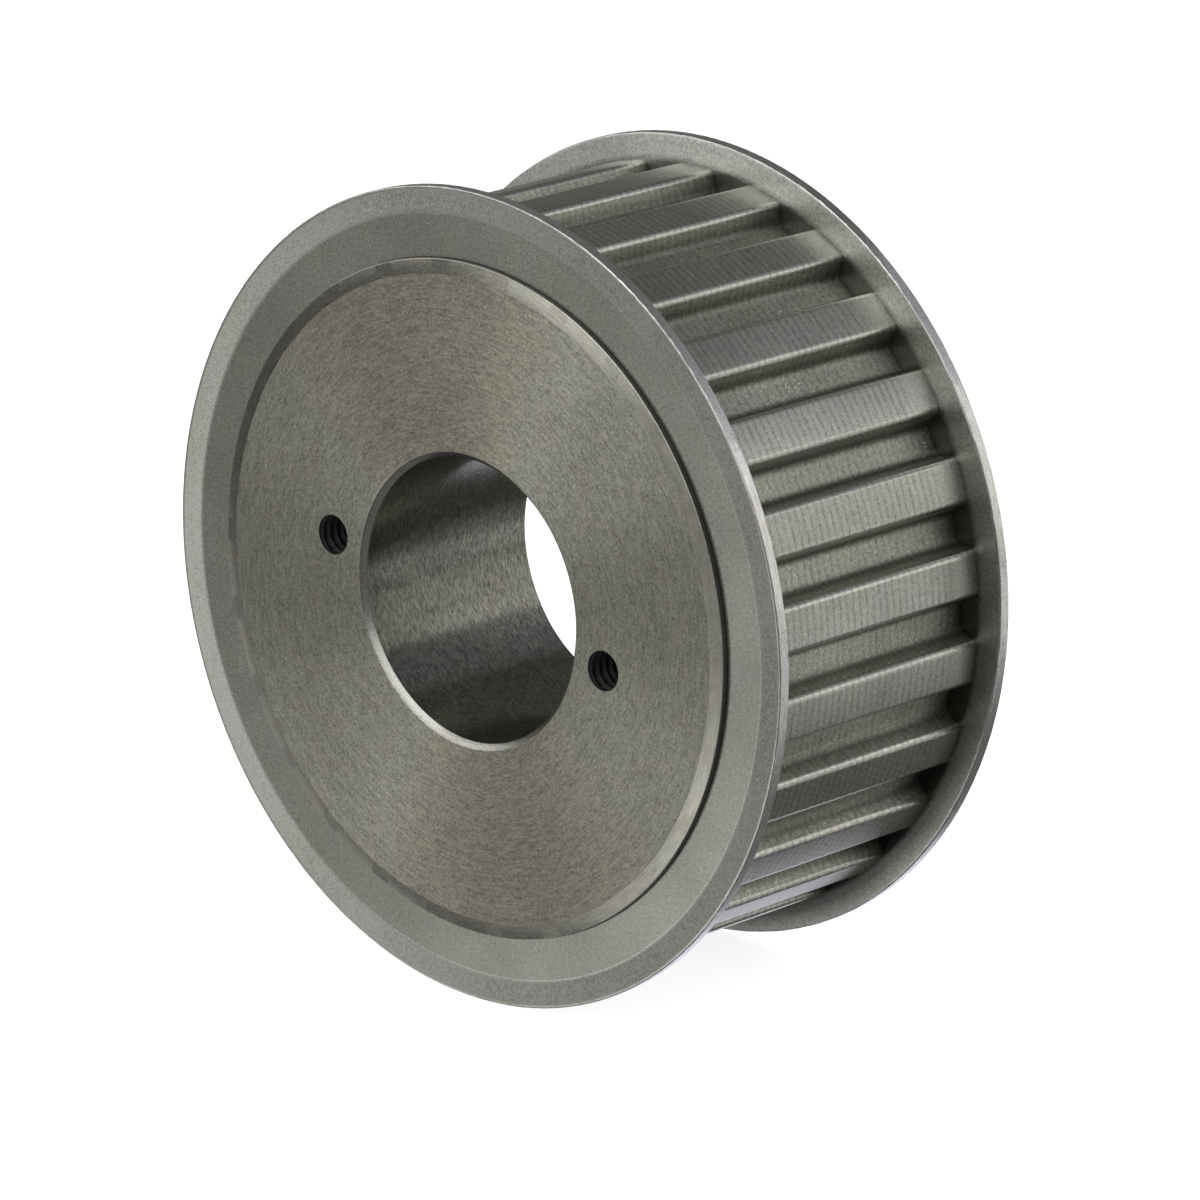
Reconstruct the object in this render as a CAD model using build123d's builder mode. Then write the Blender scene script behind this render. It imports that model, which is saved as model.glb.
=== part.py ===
"""Timing belt pulley: 26 grooves of H pitch for a 1 1/2 in belt, with two pressed-on flanges.

The axis runs along Y through the origin, which is mid-width.  The front face, with the two
tapped holes, looks towards -Y.  All sizes are in millimetres.
"""
from build123d import *
from math import pi, radians, tan
import os

# Belt and tooth form (H pitch, trapezoidal)
TOOTH_COUNT = 26
PITCH = 12.7
TIP_TO_PITCH_LINE = 0.686
GROOVE_BOTTOM_WIDTH = 4.19
GROOVE_DEPTH = 3.05
GROOVE_SIDE_ANGLE = 20.0
GROOVE_CORNER_RADIUS = 1.2
TOOTH_TIP_RADIUS = 0.9
TOOTH_ANGLE = 5.9

# Widths along the axis
BODY_WIDTH = 46.04
BELT_CHANNEL_WIDTH = 40.4

# Flanges: a flat ring with its outer band flared away from the belt
FLANGE_DIAMETER = 111.1
FLANGE_THICKNESS = 1.7
FLANGE_FLARE = 0.35
FLANGE_BEND_DIAMETER = 104.0
FLANGE_BEND_RADIUS = 5.0
FLANGE_RIM_RADIUS = 0.2
FLANGE_BORE_CHAMFER = 0.3

# Spigot that carries a flange, and the rolled lip that keeps the flange on
SPIGOT_DIAMETER = 91.6
LIP_DIAMETER = 92.0
LIP_FACE_DIAMETER = 88.0
LIP_BEVEL_DEPTH = 0.35
LIP_CLEARANCE = 0.05

# Hub
HUB_LENGTH = 31.75
BORE_DIAMETER = 38.8
BORE_CHAMFER = 0.8
RECESS_DIAMETER = 80.0
RECESS_CORNER_RADIUS = 2.5
RECESS_MOUTH_CHAMFER = 0.6

# Tapped holes (1/4-20) beside the bore
SCREW_CIRCLE_DIAMETER = 50.8
SCREW_HOLE_COUNT = 2
SCREW_HOLE_DIAMETER = 5.2
SCREW_HOLE_ANGLE = -9.5
SCREW_HOLE_CHAMFER = 0.15

# Worked out from the sizes above
TIP_RADIUS = TOOTH_COUNT * PITCH / pi / 2 - TIP_TO_PITCH_LINE
ROOT_RADIUS = TIP_RADIUS - GROOVE_DEPTH
GROOVE_CUT_HEIGHT = GROOVE_DEPTH + 1.0
GROOVE_CUT_WIDTH = GROOVE_BOTTOM_WIDTH + 2 * GROOVE_CUT_HEIGHT * tan(radians(GROOVE_SIDE_ANGLE))
FIRST_GROOVE_ANGLE = TOOTH_ANGLE + 180 / TOOTH_COUNT
FACE_Y = BODY_WIDTH / 2
SHOULDER_Y = BELT_CHANNEL_WIDTH / 2
FLANGE_FACE_Y = SHOULDER_Y + FLANGE_THICKNESS
HUB_REAR_Y = HUB_LENGTH - FACE_Y


def circles(part, diameter):
    """Circular edges of a part that have the given diameter."""
    edges = part.edges().filter_by(GeomType.CIRCLE)
    return edges.filter_by(lambda edge: abs(2 * edge.radius - diameter) < 0.001)


# ---------------------------------------------------------------- toothed body
with BuildPart() as toothed_body:
    # Toothed rim
    with BuildSketch(Plane.XZ) as rim_outline:
        Circle(TIP_RADIUS)
        with PolarLocations(ROOT_RADIUS, TOOTH_COUNT, start_angle=FIRST_GROOVE_ANGLE):
            Trapezoid(
                GROOVE_CUT_WIDTH,
                GROOVE_CUT_HEIGHT,
                90 - GROOVE_SIDE_ANGLE,
                rotation=90,
                align=(Align.CENTER, Align.MAX),
                mode=Mode.SUBTRACT,
            )
        corners = rim_outline.vertices().group_by(lambda corner: corner.center().length)
        fillet(corners[-1], TOOTH_TIP_RADIUS)
        fillet(corners[0], GROOVE_CORNER_RADIUS)
    extrude(amount=SHOULDER_Y, both=True)

    # Spigots at both ends, each with its rolled lip
    with BuildSketch(Plane.XY):
        with BuildLine():
            Polyline(
                (0, 0),
                (SPIGOT_DIAMETER / 2, 0),
                (SPIGOT_DIAMETER / 2, FLANGE_FACE_Y + LIP_CLEARANCE),
                (LIP_DIAMETER / 2, FLANGE_FACE_Y + LIP_CLEARANCE),
                (LIP_DIAMETER / 2, FACE_Y - LIP_BEVEL_DEPTH),
                (LIP_FACE_DIAMETER / 2, FACE_Y),
                (0, FACE_Y),
                close=True,
            )
        make_face()
        mirror(about=Plane.XZ)
    revolve(axis=Axis.Y)

    # Recess behind the hub
    with BuildSketch(Plane.XZ.offset(-HUB_REAR_Y)):
        Circle(RECESS_DIAMETER / 2)
    extrude(amount=-BODY_WIDTH, mode=Mode.SUBTRACT)
    recess_edges = circles(toothed_body, RECESS_DIAMETER).sort_by(Axis.Y)
    fillet(recess_edges[0], RECESS_CORNER_RADIUS)
    chamfer(recess_edges[-1], RECESS_MOUTH_CHAMFER)

    # Bore
    with BuildSketch(Plane.XZ):
        Circle(BORE_DIAMETER / 2)
    extrude(amount=BODY_WIDTH, both=True, mode=Mode.SUBTRACT)
    chamfer(circles(toothed_body, BORE_DIAMETER), BORE_CHAMFER)

    # Tapped holes, right through the hub
    with BuildSketch(Plane.XZ):
        with PolarLocations(SCREW_CIRCLE_DIAMETER / 2, SCREW_HOLE_COUNT, start_angle=SCREW_HOLE_ANGLE):
            Circle(SCREW_HOLE_DIAMETER / 2)
    extrude(amount=BODY_WIDTH, both=True, mode=Mode.SUBTRACT)
    chamfer(circles(toothed_body, SCREW_HOLE_DIAMETER), SCREW_HOLE_CHAMFER)


# ---------------------------------------------------------------- front flange
with BuildPart() as front_flange:
    with BuildSketch(Plane.XY) as flange_section:
        with BuildLine():
            Polyline(
                (SPIGOT_DIAMETER / 2, -SHOULDER_Y),
                (FLANGE_BEND_DIAMETER / 2, -SHOULDER_Y),
                (FLANGE_DIAMETER / 2, -SHOULDER_Y - FLANGE_FLARE),
                (FLANGE_DIAMETER / 2, -FLANGE_FACE_Y - FLANGE_FLARE),
                (FLANGE_BEND_DIAMETER / 2, -FLANGE_FACE_Y),
                (SPIGOT_DIAMETER / 2, -FLANGE_FACE_Y),
                close=True,
            )
        make_face()
        section_corners = flange_section.vertices().group_by(Axis.X)
        fillet(section_corners[-1], FLANGE_RIM_RADIUS)
        fillet(section_corners[1], FLANGE_BEND_RADIUS)
        chamfer(section_corners[0].sort_by(Axis.Y)[0], FLANGE_BORE_CHAMFER)
    revolve(axis=Axis.Y)


# ---------------------------------------------------------------- rear flange
with BuildPart() as rear_flange:
    mirror(front_flange.part, about=Plane.XZ)


# ---------------------------------------------------------------- export
os.makedirs("parts", exist_ok=True)

toothed_body.part.label = "toothed_body"
export_step(toothed_body.part, "parts/toothed_body.step")

front_flange.part.label = "front_flange"
export_step(front_flange.part, "parts/front_flange.step")

rear_flange.part.label = "rear_flange"
export_step(rear_flange.part, "parts/rear_flange.step")
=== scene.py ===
import math
import bmesh
import bpy
import numpy as np
from mathutils import Matrix, Vector
from mathutils.geometry import delaunay_2d_cdt


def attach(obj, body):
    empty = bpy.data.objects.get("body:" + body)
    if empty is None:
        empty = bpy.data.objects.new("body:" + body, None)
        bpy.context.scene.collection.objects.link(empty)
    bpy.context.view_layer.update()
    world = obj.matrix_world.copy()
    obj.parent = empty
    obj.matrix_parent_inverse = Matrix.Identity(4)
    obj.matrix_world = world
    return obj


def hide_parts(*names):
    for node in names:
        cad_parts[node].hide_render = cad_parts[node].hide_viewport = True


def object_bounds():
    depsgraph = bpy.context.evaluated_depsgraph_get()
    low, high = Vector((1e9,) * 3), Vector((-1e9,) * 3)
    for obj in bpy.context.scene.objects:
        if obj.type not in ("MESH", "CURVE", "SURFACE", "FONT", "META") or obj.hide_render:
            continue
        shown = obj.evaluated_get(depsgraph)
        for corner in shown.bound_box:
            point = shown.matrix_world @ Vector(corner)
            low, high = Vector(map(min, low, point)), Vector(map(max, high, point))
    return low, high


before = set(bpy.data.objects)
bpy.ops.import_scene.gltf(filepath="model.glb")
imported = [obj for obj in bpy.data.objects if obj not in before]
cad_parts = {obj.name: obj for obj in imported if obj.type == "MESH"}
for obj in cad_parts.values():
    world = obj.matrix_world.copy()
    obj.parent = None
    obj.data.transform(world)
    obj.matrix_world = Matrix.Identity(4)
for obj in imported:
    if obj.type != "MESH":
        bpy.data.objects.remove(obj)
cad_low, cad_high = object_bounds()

noise_rng = np.random.default_rng(26)
MM = 0.001

# ------------------------------------------------------------------ sizes, in millimetres
TEETH = 26
PITCH = 12.7
PITCH_LINE_OUT = 0.686          # from the tooth tops out to the belt's pitch line
GROOVE_DEPTH = 3.05
TIP_R = TEETH * PITCH / math.pi / 2 - PITCH_LINE_OUT
ROOT_R = TIP_R - GROOVE_DEPTH
GROOVE_HALF = 4.19 / 2
GROOVE_SLOPE = math.tan(math.radians(20))
TIP_ROUND = 0.9
GROOVE_ROUND = 1.2
FEED = 1.27                     # spacing of the turning marks along the axis
SCALE_STEP = 1.1                # spacing of the hob marks round the teeth
WORN_FROM, WORN_TO = 14.6, 16.6  # y where the tooth tops turn smooth towards the rear flange
TOOTH_ANGLE = 5.9               # middle of one tooth top, in degrees

FACE_Y = cad_high.y / MM
SHOULDER_Y = 20.2
FLANGE_R = cad_high.x / MM
FLANGE_T = 1.7
FLARE = 0.35
BEND_R = 52.0
BEND_ROUND = 5.0
RIM_ROUND = 0.3
RIM_DENT = 0.012                # spread of the small dents in the rim
SPIGOT_R = 45.8
LIP_R = 46.0
LIP_FACE_R = 44.0
LIP_EDGE_Y = FACE_Y - 0.35
LIP_GAP = 0.05                  # between a flange and the lip over it
HUB_LENGTH = 31.75
HUB_REAR_Y = HUB_LENGTH - FACE_Y
BORE_R = 19.4
BORE_CHAMFER = 0.8
RECESS_R = 40.0
RECESS_CHAMFER = 0.6
RECESS_CORNER = 2.5
SCREW_PCR = 25.4
SCREW_R = 2.6
SCREW_ANGLES = (-9.5, 170.5)
THREAD_PITCH = 1.27
THREAD_DEPTH = 0.55
THREAD_LEAD_IN = 0.6            # depth over which the thread starts
HOLE_CHAMFER = 0.15

# ------------------------------------------------------------------ material slots, mesh and shader
LAND, EDGE, GROOVE, FACE, BEVEL, BORE, RECESS, THREAD, GAP = range(9)
FLAT, BAND, RIM, BELT_SIDE = range(4)
SHARP_ANGLE = 30                # degrees between faces, above which an edge is sharp
MERGE_DISTANCE = 2e-6           # metres
BUMP_DEPTH = 0.00006            # metres of relief for a height of 1
ACROSS_MARKS = 0.25             # turns from the tangent: highlights stretch across the cutting marks
PAINTED_FAN_ANGLE = 105                 # degrees, middle of one of the two painted warm reflection sectors


# ------------------------------------------------------------------ mesh helpers
def corner_arc(before, here, after, radius, steps):
    """Points of the arc that rounds a corner."""
    before, here, after = (np.array(p[:2], float) for p in (before, here, after))
    a, b = before - here, after - here
    a_length, b_length = np.linalg.norm(a), np.linalg.norm(b)
    a, b = a / a_length, b / b_length
    half = math.acos(max(-1.0, min(1.0, float(a @ b)))) / 2
    reach = min(radius / math.tan(half), 0.45 * a_length, 0.45 * b_length)
    radius = reach * math.tan(half)
    centre = here + (a + b) / np.linalg.norm(a + b) * radius / math.sin(half)
    start, end = here + a * reach - centre, here + b * reach - centre
    first = math.atan2(start[1], start[0])
    turn = (math.atan2(end[1], end[0]) - first + math.pi) % (2 * math.pi) - math.pi
    angles = np.linspace(first, first + turn, steps + 1)
    return [centre + radius * np.array((math.cos(t), math.sin(t))) for t in angles]


def rounded(corners, edge, steps=4):
    """A closed section of (radius, y, rounding, slot) corners as (radius, y, slot) points.

    slot is the material of the run that leaves the corner; the rounding itself gets edge, or the
    corner's own fifth value."""
    out = []
    for i, corner in enumerate(corners):
        r, y, radius, slot = corner[:4]
        arc_slot = corner[4] if len(corner) > 4 else edge
        if radius <= 0:
            out.append((r, y, slot))
            continue
        points = corner_arc(corners[i - 1], corner, corners[(i + 1) % len(corners)], radius, steps)
        out += [(p[0], p[1], arc_slot) for p in points[:-1]]
        out.append((points[-1][0], points[-1][1], slot))
    return out


def finish_mesh(name, verts, faces, face_slots, materials):
    """A closed mesh object with smooth shading, sharp edges by angle and one material per slot."""
    mesh = bpy.data.meshes.new(name)
    mesh.from_pydata([tuple(v) for v in verts], [], faces)
    for material in materials:
        mesh.materials.append(material)
    mesh.polygons.foreach_set("material_index", face_slots)
    work = bmesh.new()
    work.from_mesh(mesh)
    bmesh.ops.remove_doubles(work, verts=work.verts, dist=MERGE_DISTANCE)
    loose = [v for v in work.verts if not v.link_faces]
    bmesh.ops.delete(work, geom=loose, context="VERTS")
    bmesh.ops.recalc_face_normals(work, faces=work.faces)
    work.to_mesh(mesh)
    work.free()
    mesh.shade_smooth()
    mesh.set_sharp_from_angle(angle=math.radians(SHARP_ANGLE))
    obj = bpy.data.objects.new(name, mesh)
    bpy.context.scene.collection.objects.link(obj)
    flats_first = obj.modifiers.new("flats_stay_flat", "WEIGHTED_NORMAL")
    flats_first.keep_sharp = True
    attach(obj, "root")
    return obj


def ring_points(radius, angles, y):
    """One ring of points round the axis, in metres. Radius and y may be one number or one per angle."""
    turn = np.radians(angles)
    radius, y = np.broadcast_to(radius, turn.shape), np.broadcast_to(y, turn.shape)
    return np.stack((radius * np.cos(turn), y, radius * np.sin(turn)), 1) * MM


def skin(rings, slots):
    """Quads between rings of equally many points, the last joined to the first.

    slots gives each band's material slot, as one number, one per angle, or None for no faces."""
    around = len(rings[0])
    faces, face_slots = [], []
    for i, slot in enumerate(slots):
        if slot is None:
            continue
        low, high = i * around, (i + 1) % len(rings) * around
        band = np.broadcast_to(slot, around)
        for j in range(around):
            k = (j + 1) % around
            faces.append((low + j, low + k, high + k, high + j))
            face_slots.append(int(band[j]))
    return list(np.concatenate(rings)), faces, face_slots


# ------------------------------------------------------------------ toothed body
def tooth_outline(per_bottom=5, per_round=5, per_flank=5, per_land=12):
    """Angles in degrees, radii and material slots once round the toothed rim."""
    across = GROOVE_HALF
    for _ in range(20):
        across = GROOVE_HALF + (math.sqrt(TIP_R**2 - across**2) - ROOT_R) * GROOVE_SLOPE
    mouth = (across, math.sqrt(TIP_R**2 - across**2))
    land = (mouth[0] + mouth[1] * 0.05, mouth[1] - mouth[0] * 0.05)
    foot = corner_arc((0, ROOT_R), (GROOVE_HALF, ROOT_R), mouth, GROOVE_ROUND, per_round)
    tip = corner_arc((GROOVE_HALF, ROOT_R), mouth, land, TIP_ROUND, per_round)
    bottom = [(x, ROOT_R) for x in np.linspace(0, foot[0][0], per_bottom)[:-1]]
    flank = [foot[-1] + (tip[0] - foot[-1]) * t for t in np.linspace(0, 1, per_flank)[1:-1]]
    points = [*bottom, *foot, *flank, *tip]
    angle = [math.degrees(math.atan2(x, r)) for x, r in points]
    radius = [min(math.hypot(x, r), TIP_R) for x, r in points]
    half_step = 180 / TEETH
    angle += list(np.linspace(angle[-1], half_step, per_land)[1:])
    radius += [TIP_R] * (per_land - 1)
    zone = [GROOVE] * (len(points) - len(tip)) + [EDGE] * (len(tip) - 1) + [LAND] * per_land
    angle, radius, zone = np.array(angle), np.array(radius), np.array(zone[: len(angle) - 1])
    one_angle = np.concatenate((-angle[:0:-1], angle[:-1]))
    one_radius = np.concatenate((radius[:0:-1], radius[:-1]))
    one_zone = np.concatenate((zone[::-1], zone))
    middles = TOOTH_ANGLE + half_step + 360 / TEETH * np.arange(TEETH)
    return (middles[:, None] + one_angle).ravel(), np.tile(one_radius, TEETH), np.tile(one_zone, TEETH)


def screw_centre(angle):
    """Across and up position of a screw hole's centre."""
    return SCREW_PCR * math.cos(math.radians(angle)), SCREW_PCR * math.sin(math.radians(angle))


def thread_rings(angle, around=40, per_pitch=10):
    """A tapped hole's helical wall as rings from the front face to the rear hub face."""
    cx, cz = screw_centre(angle)
    turn = np.linspace(0, 2 * math.pi, around, endpoint=False)
    rings = []
    for y in np.linspace(-FACE_Y, HUB_REAR_Y, int(HUB_LENGTH / THREAD_PITCH * per_pitch)):
        inside = min(y + FACE_Y, HUB_REAR_Y - y)
        phase = (y / THREAD_PITCH + turn / (2 * math.pi)) % 1
        cut = THREAD_DEPTH * np.clip(1.5 - 4 * np.abs(phase - 0.5), 0, 1)
        r = SCREW_R + cut * min(1, inside / THREAD_LEAD_IN) + max(0, HOLE_CHAMFER - inside)
        ring = np.stack((cx + r * np.cos(turn), np.full(around, y), cz + r * np.sin(turn)), 1)
        rings.append(ring * MM)
    return rings


def flat_ring(outer, inner, holes, rows=9, around=180, margin=0.7):
    """Triangles that fill the flat ring between two rings of points, less the screw holes.

    Rows of extra points keep the triangles even; margin keeps them clear of the screw holes."""
    loops = [outer, inner, *holes]
    flat, edges, owner = [], [], []
    for number, loop in enumerate(loops):
        start = len(flat)
        flat += [Vector((p[0] / MM, p[2] / MM)) for p in loop]
        edges += [(start + i, start + (i + 1) % len(loop)) for i in range(len(loop))]
        owner += [number] * len(loop)
    inner_r, outer_r = flat[len(outer)].length, flat[0].length
    for radius in np.linspace(inner_r, outer_r, rows)[1:-1]:
        for turn in np.linspace(0, 2 * math.pi, around, endpoint=False):
            p = Vector((radius * math.cos(turn), radius * math.sin(turn)))
            if all((p - Vector(screw_centre(a))).length > SCREW_R + margin for a in SCREW_ANGLES):
                flat.append(p)
                owner.append(0)
    points, _, faces, sources, *_ = delaunay_2d_cdt(flat, edges, [], 0, 1e-6)
    owners = [owner[s[0]] if s else 0 for s in sources]
    kept = []
    for face in faces:
        mine = {owners[i] for i in face}
        if len(mine) > 1 or mine == {0}:
            kept.append(tuple(face))
    y = outer[0][1]
    return [(p.x * MM, y, p.y * MM) for p in points], kept


def build_body(materials, tooth_rows=9):
    """The machined body, one closed mesh, with its materials in the order of the body's slots.

    "front" and "rear" mark the two flat rings with the screw holes, which flat_ring fills."""
    angles, tooth_radius, zone = tooth_outline()
    lip_under = SHOULDER_Y + FLANGE_T + LIP_GAP
    section = [
        (BORE_R, -FACE_Y + BORE_CHAMFER, 0.15, EDGE),
        (BORE_R + BORE_CHAMFER, -FACE_Y, 0.15, "front"),
        (LIP_FACE_R, -FACE_Y, 0.1, BEVEL),
        (LIP_R, -LIP_EDGE_Y, 0.12, GAP),
        (LIP_R, -lip_under, 0.0, GAP),
        (SPIGOT_R, -lip_under, 0.0, GAP),
        (SPIGOT_R, -SHOULDER_Y, 0.0, GAP),
        (SPIGOT_R, SHOULDER_Y, 0.0, GAP),
        (SPIGOT_R, lip_under, 0.0, GAP),
        (LIP_R, lip_under, 0.0, GAP),
        (LIP_R, LIP_EDGE_Y, 0.12, BEVEL),
        (LIP_FACE_R, FACE_Y, 0.1, FACE),
        (RECESS_R + RECESS_CHAMFER, FACE_Y, 0.1, RECESS),
        (RECESS_R, FACE_Y - RECESS_CHAMFER, 0.1, RECESS),
        (RECESS_R, HUB_REAR_Y, RECESS_CORNER, "rear", RECESS),
        (BORE_R + BORE_CHAMFER, HUB_REAR_Y, 0.15, EDGE),
        (BORE_R, HUB_REAR_Y - BORE_CHAMFER, 0.12, BORE),
    ]
    rings, slots, flat_bands = [], [], {}
    for r, y, slot in rounded(section, EDGE):
        if isinstance(slot, str):
            flat_bands[slot] = len(rings)
            slot = None
        rings.append(ring_points(r, angles, y))
        slots.append(slot)
        if (r, y) == (SPIGOT_R, -SHOULDER_Y):
            for tooth_y in np.linspace(-SHOULDER_Y, SHOULDER_Y, tooth_rows):
                rings.append(ring_points(tooth_radius, angles, tooth_y))
                slots.append(zone)
            slots[-1] = GAP
    verts, faces, face_slots = skin(rings, slots)
    threads = [thread_rings(a) for a in SCREW_ANGLES]
    for wall in threads:
        more, more_faces, more_slots = skin(wall, [THREAD] * (len(wall) - 1))
        faces += [tuple(i + len(verts) for i in f) for f in more_faces]
        face_slots += more_slots
        verts += more
    front, rear = flat_bands["front"], flat_bands["rear"]
    for outer, inner, end in ((front + 1, front, 0), (rear, rear + 1, -1)):
        more, more_faces = flat_ring(rings[outer], rings[inner], [wall[end] for wall in threads])
        faces += [tuple(i + len(verts) for i in f) for f in more_faces]
        face_slots += [FACE] * len(more_faces)
        verts += more
    return finish_mesh("machined_body", verts, faces, face_slots, materials)


# ------------------------------------------------------------------ flanges
def build_flange(name, side, materials):
    """A flange as one closed mesh, with its materials in the order of the flange's slots."""
    angles = np.arange(0, 360, 0.4)
    rim_zone = 0.5
    rim_y = SHOULDER_Y + FLARE * (1 - rim_zone / (FLANGE_R - BEND_R))
    section = [
        (SPIGOT_R, SHOULDER_Y, 0.0, BELT_SIDE),
        (BEND_R, SHOULDER_Y, BEND_ROUND, BELT_SIDE, BELT_SIDE),
        (FLANGE_R - rim_zone, rim_y, 0.0, BELT_SIDE),
        (FLANGE_R, SHOULDER_Y + FLARE, RIM_ROUND, RIM),
        (FLANGE_R, SHOULDER_Y + FLARE + FLANGE_T, RIM_ROUND, BAND),
        (FLANGE_R - rim_zone, rim_y + FLANGE_T, 0.0, BAND),
        (BEND_R, SHOULDER_Y + FLANGE_T, BEND_ROUND, FLAT, BAND),
        (SPIGOT_R, SHOULDER_Y + FLANGE_T, 0.35, BELT_SIDE),
    ]
    rings, slots = [], []
    for r, y, slot in rounded(section, RIM):
        on_rim = r > FLANGE_R - 0.29
        dents = noise_rng.normal(0, RIM_DENT if on_rim else 0.0, angles.shape)
        radius = np.minimum(r + dents, FLANGE_R)
        rings.append(ring_points(radius, angles, side * y))
        slots.append(slot)
    verts, faces, face_slots = skin(rings, slots)
    return finish_mesh(name, verts, faces, face_slots, materials)


# ------------------------------------------------------------------ materials
class Shader:
    """A material's node tree, with short calls for the nodes it needs."""

    def __init__(self, name):
        self.material = bpy.data.materials.new(name)
        self.material.use_nodes = True
        self.tree = self.material.node_tree
        self.tree.nodes.clear()

    def add(self, kind, inputs=(), **settings):
        node = self.tree.nodes.new("ShaderNode" + kind)
        for key, value in settings.items():
            setattr(node, key, value)
        for key, value in dict(inputs).items():
            self.put(node.inputs[key], value)
        return node

    def put(self, socket, value):
        if isinstance(value, bpy.types.NodeSocket):
            self.tree.links.new(value, socket)
        else:
            socket.default_value = value

    def math(self, operation, a, b=0.0):
        return self.add("Math", {0: a, 1: b}, operation=operation).outputs[0]

    def vector(self, x, y, z):
        return self.add("CombineXYZ", {0: x, 1: y, 2: z}).outputs[0]

    def remap(self, value, low, high, to_low, to_high):
        node = self.add("MapRange", {0: value, 1: low, 2: high, 3: to_low, 4: to_high})
        return node.outputs[0]

    def noise(self, vector, scale, detail=2.0, rough=0.5):
        inputs = {"Vector": vector, "Scale": scale, "Detail": detail, "Roughness": rough}
        return self.add("TexNoise", inputs).outputs["Fac"]

    def mix(self, factor, a, b, blend="MIX"):
        node = self.add("Mix", data_type="RGBA", blend_type=blend)
        for socket, value in zip((node.inputs[0], node.inputs[6], node.inputs[7]), (factor, a, b)):
            self.put(socket, value)
        return node.outputs[2]

    def finish(self, color, rough, height, bump, metallic, aniso):
        inputs = {"Base Color": color, "Roughness": rough, "Metallic": metallic}
        if aniso:
            inputs["Anisotropic"] = aniso
            inputs["Anisotropic Rotation"] = ACROSS_MARKS
            inputs["Tangent"] = self.add("Tangent", direction_type="RADIAL", axis="Y").outputs[0]
        normal = self.add("Bump", {"Strength": bump, "Distance": BUMP_DEPTH, "Height": height})
        inputs["Normal"] = normal.outputs[0]
        shader = self.add("BsdfPrincipled", inputs)
        self.add("OutputMaterial", {"Surface": shader.outputs[0]})
        return self.material


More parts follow.
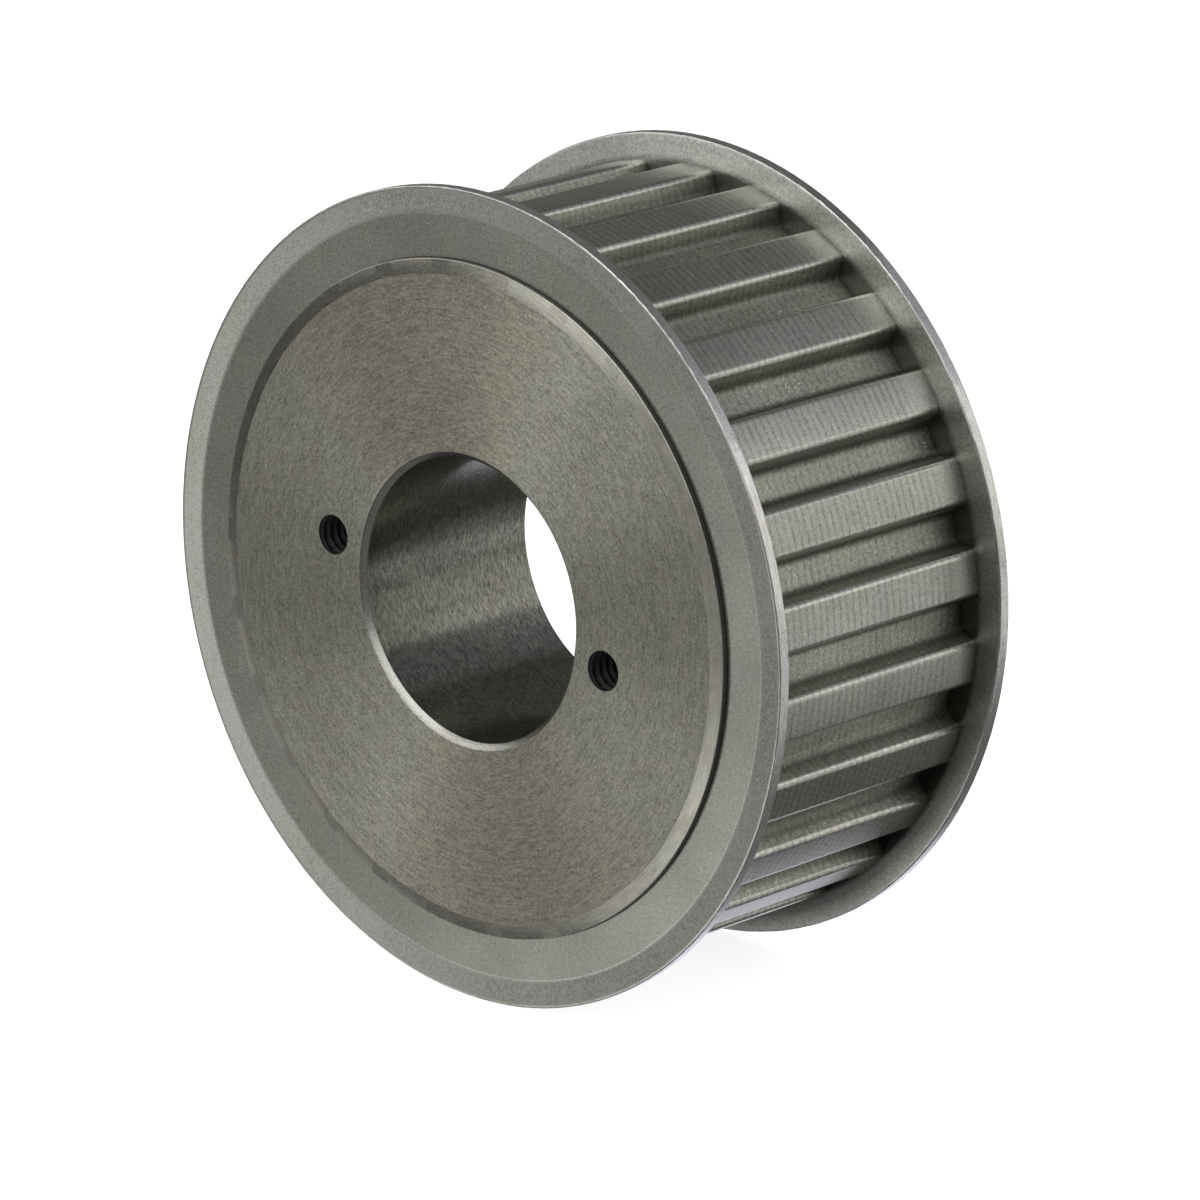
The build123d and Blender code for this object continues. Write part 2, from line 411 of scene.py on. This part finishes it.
def steel(name, value, hue, rough, *, aniso=0.0, strokes=0.0, grain=0.0, pits=0.0, glints_and_scuffs=0.0,
          marks=0.0, bump=0.15, patch=0.08, metallic=1.0, painted_fans=0.0, painted_shade=None):
    """Machined or rolled steel.

    value and hue: base colour; rough: roughness; aniso: stretch of the highlights; strokes: short
    cutting marks round the axis; grain: even fine grain; pits: coarser specks; glints: scattered
    bright specks in the colour, painted glint sparkle in the grooves and light scuffs on the sheet;
    marks: depth of the feed marks along the axis and of the hob's scale-like marks round the teeth,
    which show low down; bump: strength of all relief; patch: slow change of tone; metallic: less than
    1 for the near-black painted shade in the gap and the threads; fans: painted warm reflection in two
    opposite sectors; grime: function that returns the share of the tone that the painted shade leaves."""
    s = Shader(name)
    place = s.add("TexCoord").outputs["Object"]
    xyz = s.add("SeparateXYZ", {0: place}).outputs
    x, y, z = (s.math("MULTIPLY", axis, 1 / MM) for axis in xyz[:3])
    radius = s.math("SQRT", s.math("ADD", s.math("MULTIPLY", x, x), s.math("MULTIPLY", z, z)))
    angle = s.math("ARCTAN2", z, x)
    mm = s.vector(x, y, z)
    fine = s.noise(mm, 3.2, 2.0, 0.7)
    layers = [(fine, grain)]
    if strokes:
        round_axis = s.vector(radius, s.math("MULTIPLY", angle, 5.0), y)
        layers.append((s.noise(round_axis, 3.8, 2.0, 0.6), strokes))
    if pits:
        layers.append((s.noise(mm, 1.6, 3.0, 0.7), pits))
    height = 0.0
    for layer, weight in layers:
        relief = s.math("MULTIPLY", s.math("SUBTRACT", layer, 0.5), weight)
        height = s.math("ADD", height, relief)
    tone = s.math("ADD", 1.0, s.math("MULTIPLY", height, 1.2))
    if marks:
        wobble = s.math("MULTIPLY", s.noise(mm, 0.25, 2.0), 0.16)
        phase = s.math("ADD", s.math("DIVIDE", y, FEED), wobble)
        mark = s.remap(s.math("PINGPONG", phase, 0.5), 0.0, 0.3, 1.0, 0.0)
        stretched = s.vector(x, s.math("MULTIPLY", y, 0.4), z)
        dashes = s.remap(s.noise(stretched, 2.2, 2.0), 0.35, 0.6, 0.4, 1.0)
        on_land = s.remap(radius, TIP_R - 0.1, TIP_R - 0.02, 0.0, 1.0)
        worn = s.math("MULTIPLY", on_land, s.remap(y, WORN_FROM, WORN_TO, 0.0, 1.0))
        mark = s.math("MULTIPLY", s.math("MULTIPLY", mark, dashes), s.math("SUBTRACT", 1.0, worn))
        row_shift = s.math("MULTIPLY", s.math("FLOOR", phase), 0.5)
        round_teeth = s.math("MULTIPLY", angle, TIP_R / SCALE_STEP)
        scale_phase = s.math("ADD", round_teeth, s.math("ADD", row_shift, wobble))
        scales = s.remap(s.math("PINGPONG", scale_phase, 0.5), 0.0, 0.14, 1.0, 0.0)
        scales = s.math("MULTIPLY", scales, s.remap(z, -18.0, 0.0, 1.3 * marks, 0.0))
        height = s.math("SUBTRACT", height, s.math("MULTIPLY", mark, 1.6 * marks))
        tone = s.math("SUBTRACT", tone, s.math("MULTIPLY", mark, marks))
        tone = s.math("ADD", tone, s.math("ADD", s.math("MULTIPLY", worn, 0.05), 0.2 * marks))
        height = s.math("ADD", height, scales)
        tone = s.math("ADD", tone, s.math("MULTIPLY", scales, dashes))
    # bright specks in the colour: painted glint sparkle in the grooves, light scuffs on the sheet
    if glints_and_scuffs:
        spark = s.remap(s.noise(mm, 3.4, 1.0, 0.5), 0.66, 0.74, 0.0, 1.0)
        where = s.remap(s.noise(mm, 0.12, 2.0), 0.45, 0.6, 0.2, 1.0)
        spark = s.math("MULTIPLY", s.math("MULTIPLY", spark, where), glints_and_scuffs)
        tone = s.math("ADD", tone, spark)
        height = s.math("ADD", height, s.math("MULTIPLY", spark, 0.3))
    slow = s.remap(s.noise(mm, 0.06, 3.0, 0.55), 0.38, 0.64, 1 - patch, 1 + patch)
    tone = s.math("MULTIPLY", tone, slow)
    # painted shade, multiplied into the tone
    if painted_shade:
        tone = s.math("MULTIPLY", tone, painted_shade(s, radius, angle, y))
    cool = tuple(value * c for c in (hue[0] * 0.98, hue[1], hue[2] * 1.01)) + (1,)
    warm = tuple(value * c for c in (hue[0] * (1.02 + 0.06 * painted_fans), hue[1], hue[2] * 0.99)) + (1,)
    warmth = s.remap(s.noise(mm, 0.3, 2.0), 0.38, 0.62, 0.0, 1.0)
    # painted warm reflection in two opposite sectors round the axis
    if painted_fans:
        from_fan = s.math("SUBTRACT", angle, math.radians(PAINTED_FAN_ANGLE))
        sector = s.math("COSINE", s.math("MULTIPLY", from_fan, 2.0))
        warmth = s.math("ADD", s.math("MULTIPLY", warmth, 0.4), s.remap(sector, 0.2, 0.8, 0.0, painted_fans))
    base = s.mix(warmth, cool, warm)
    base = s.mix(1.0, base, s.vector(tone, tone, tone), "MULTIPLY")
    roughness = s.math("ADD", rough, s.math("MULTIPLY", s.math("SUBTRACT", fine, 0.5), 0.16))
    return s.finish(base, roughness, height, bump, metallic, aniso)


def groove_painted_shade(s, radius, angle, y):
    """Painted shade along the foot of each groove side, and painted contact shadow where a groove meets
    a flange.
    """
    turn = s.math("ADD", s.math("DIVIDE", angle, 2 * math.pi / TEETH), -TOOTH_ANGLE * TEETH / 360)
    share = s.math("FRACT", s.math("ADD", turn, TEETH))
    from_middle = s.math("ABSOLUTE", s.math("SUBTRACT", share, 0.5))
    across = s.math("MULTIPLY", from_middle, 2 * math.pi * ROOT_R / TEETH)
    foot = s.remap(across, GROOVE_HALF - 0.9, GROOVE_HALF, 0.0, 1.0)
    low = s.remap(radius, ROOT_R + 0.2, ROOT_R + 1.8, 1.0, 0.0)
    corner = s.math("MULTIPLY", foot, low)
    end = s.remap(s.math("ABSOLUTE", y), SHOULDER_Y - 1.4, SHOULDER_Y, 0.0, 1.0)
    dark = s.math("MAXIMUM", s.math("MULTIPLY", corner, 0.6), s.math("MULTIPLY", end, 0.6))
    return s.math("SUBTRACT", 1.0, dark)


def flange_painted_shade(s, radius, angle, y):
    """Painted contact shadow where the toothed rim meets the flange, and painted shade low down, less
    so towards the rim; painted light makes the upper side brighter.

    y isn't needed here, but steel gives every painted-shade function the same values."""
    contact = s.remap(radius, TIP_R - 0.2, TIP_R + 0.9, 0.35, 1.0)
    inner = s.remap(radius, TIP_R + 1.2, FLANGE_R - 0.2, 0.95, 0.45)
    low = s.remap(s.math("SINE", angle), -0.8, 0.9, 1.0, 0.0)
    # painted shade low down, and painted light up to 1.15 times the tone higher up
    unshaded = s.math("SUBTRACT", 1.15, s.math("MULTIPLY", low, inner))
    return s.math("MULTIPLY", contact, unshaded)


land = steel("turned_tooth_tops", 0.435, (0.98, 1, 0.88), 0.36, aniso=0.7, strokes=0.5, grain=1.1,
             marks=0.36)
# lighter than the tooth tops and grooves: painted highlight along the rounded tooth edges
edge = steel("rounded_edges", 0.5, (1, 1, 0.9), 0.3, grain=0.9, marks=0.3, bump=0.3)
groove = steel("milled_grooves", 0.395, (0.97, 1, 0.83), 0.5, grain=0.9, pits=0.8, glints_and_scuffs=1.6,
               marks=0.24, bump=0.4, painted_shade=groove_painted_shade)
face = steel("turned_face", 0.43, (1.01, 1, 0.82), 0.36, aniso=0.9, strokes=0.9, grain=1.3, patch=0.04,
             painted_fans=1.1, bump=0.1)
bevel = steel("turned_bevel", 0.34, (1.02, 1, 0.85), 0.25, aniso=0.5, strokes=0.6, grain=0.6, bump=0.08)
bore = steel("bored_wall", 0.21, (1, 1, 0.85), 0.24, aniso=0.88, strokes=2.0, grain=0.9, bump=0.15)
recess = steel("rough_turned_recess", 0.4, (1, 1, 0.84), 0.42, aniso=0.5, strokes=0.9, grain=0.6)
# near black and barely metallic: painted shade inside the tapped holes
thread = steel("tapped_thread", 0.014, (1, 1, 0.9), 0.5, grain=0.3, metallic=0.2)
# near black: painted shade in the narrow gap between each lip and its flange
gap = steel("painted_shade_gap", 0.05, (1, 1, 0.9), 0.5, grain=0.4, metallic=0.4)
sheet = steel("rolled_sheet", 0.62, (0.98, 1, 0.86), 0.27, grain=0.45, pits=0.5, glints_and_scuffs=0.3, bump=0.12)
# much lighter than the rolled sheet it is part of: painted light on the flared band
band = steel("flared_band", 0.98, (0.99, 1, 0.88), 0.22, grain=0.6, pits=0.4, bump=0.06)
rim = steel("sheared_rim", 0.66, (1, 1, 0.96), 0.3, aniso=0.5, strokes=0.8, grain=0.6)
inside = steel("rolled_sheet_belt_side", 0.62, (0.98, 1, 0.92), 0.38, grain=0.8, pits=0.5, bump=0.15,
               painted_shade=flange_painted_shade)

body = build_body([land, edge, groove, face, bevel, bore, recess, thread, gap])
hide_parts("toothed_body")
flange_steels = [sheet, band, rim, inside]
for name, side, node in (
    ("front_flange_ring", -1, "front_flange"),
    ("rear_flange_ring", 1, "rear_flange"),
):
    flange = build_flange(name, side, flange_steels)
    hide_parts(node)


# ------------------------------------------------------------------ camera, fitted to the outline
camera = bpy.data.objects.new("camera", bpy.data.cameras.new("camera"))
camera.data.sensor_width = 36
camera.data.lens = 224.48
camera.data.clip_start = 0.01
camera.data.clip_end = 20
camera.location = (0.66764, -0.69379, 0.28411)
camera_axes = Matrix((
    (0.72182, -0.19887, 0.66289),
    (0.69208, 0.20745, -0.69137),
    (0, 0.95782, 0.28735),
))
camera.rotation_euler = camera_axes.to_euler()
bpy.context.scene.collection.objects.link(camera)
bpy.context.scene.camera = camera

# ------------------------------------------------------------------ floor, world and lights
floor_mesh = bpy.data.meshes.new("floor")
floor_z = cad_low.z
floor_half = 6                  # metres from the middle to each side
corners = [(x * floor_half, y * floor_half, floor_z) for x, y in ((-1, -1), (1, -1), (1, 1), (-1, 1))]
floor_mesh.from_pydata(corners, [], [(0, 1, 2, 3)])
floor = bpy.data.objects.new("floor", floor_mesh)
bpy.context.scene.collection.objects.link(floor)
floor_paint = bpy.data.materials.new("pale_floor")
floor_paint.use_nodes = True
floor_shader = floor_paint.node_tree.nodes["Principled BSDF"]
floor_shader.inputs["Base Color"].default_value = (0.9, 0.9, 0.9, 1)
floor_shader.inputs["Roughness"].default_value = 0.9
floor_shader.inputs["Specular IOR Level"].default_value = 0.0
floor_shader.inputs["Emission Color"].default_value = (1, 1, 1, 1)
floor_shader.inputs["Emission Strength"].default_value = 0.85
floor_mesh.materials.append(floor_paint)
floor.visible_glossy = False
floor.visible_shadow = False

world = bpy.data.worlds.new("studio")
world.use_nodes = True
bpy.context.scene.world = world
nodes, links = world.node_tree.nodes, world.node_tree.links
room = nodes["Background"]
room.inputs["Color"].default_value = (0.95, 0.95, 0.95, 1)
room.inputs["Strength"].default_value = 0.15
white = nodes.new("ShaderNodeBackground")
white.inputs["Color"].default_value = (1, 1, 1, 1)
white.inputs["Strength"].default_value = 1.0
rays = nodes.new("ShaderNodeLightPath")
choose = nodes.new("ShaderNodeMixShader")
links.new(rays.outputs["Is Camera Ray"], choose.inputs[0])
links.new(room.outputs[0], choose.inputs[1])
links.new(white.outputs[0], choose.inputs[2])
links.new(choose.outputs[0], nodes["World Output"].inputs[0])

LIGHT_DISTANCE = 0.9            # metres
WHITE = (1, 1, 1)


def softbox(name, direction, size, power, color):
    """A round soft light that shines on the middle of the part from a direction."""
    light = bpy.data.lights.new(name, "AREA")
    light.shape = "DISK"
    light.size = size
    light.energy = power
    light.color = color
    obj = bpy.data.objects.new(name, light)
    obj.location = Vector(direction).normalized() * LIGHT_DISTANCE
    obj.rotation_euler = (-obj.location).to_track_quat("-Z", "Y").to_euler()
    bpy.context.scene.collection.objects.link(obj)


# name, direction from the part, diameter in metres, power in watts
STUDIO = (
    ("top_front", (0.04, -0.46, 0.89), 0.6, 1.21),
    ("front_upper_right", (0.36, -0.77, 0.52), 0.6, 1.02),
    ("upper_right", (0.74, 0.27, 0.61), 0.6, 0.95),
    ("key_upper_left", (-0.35, -0.67, 0.66), 0.6, 0.86),
    ("left", (-0.78, -0.45, 0.43), 0.6, 0.94),
    ("right_back", (0.74, 0.62, 0.25), 0.6, 0.78),
    ("front", (-0.12, -0.95, 0.3), 0.6, 0.63),
    ("low_right_back", (0.83, 0.44, -0.34), 0.6, 0.53),
    ("low_back", (-0.39, 0.69, -0.61), 0.6, 0.99),
    ("through_bore", (0.42, 0.88, -0.2), 0.3, 0.40),
    ("top_back", (0.26, 0.84, 0.48), 0.6, 0.24),
    ("low_front", (-0.32, -0.9, -0.3), 0.6, 0.3),
    ("left_front", (-0.51, -0.85, 0.14), 0.28, 0.3),
    ("low_left_side", (-0.85, -0.1, -0.52), 0.6, 0.4),
    ("left_back", (-0.68, 0.66, -0.28), 0.6, 0.4),
    ("low_left_front", (-0.24, -0.85, -0.47), 0.28, 0.19),
    ("low_left", (-0.33, -0.7, -0.64), 0.28, 0.14),
    ("flange_highlight", (-0.54, -0.68, -0.48), 0.28, 0.09),
)
TINTS = {
    "right_back": (1, 1, 0.93),
    "upper_right": (1, 0.97, 1.08),
    "top_back": (1, 0.95, 1.15),
    "low_back": (1, 0.95, 1.15),
}
for light_name, direction, size, power in STUDIO:
    softbox(light_name, direction, size, power, TINTS.get(light_name, WHITE))

bpy.context.scene.view_settings.view_transform = "Standard"
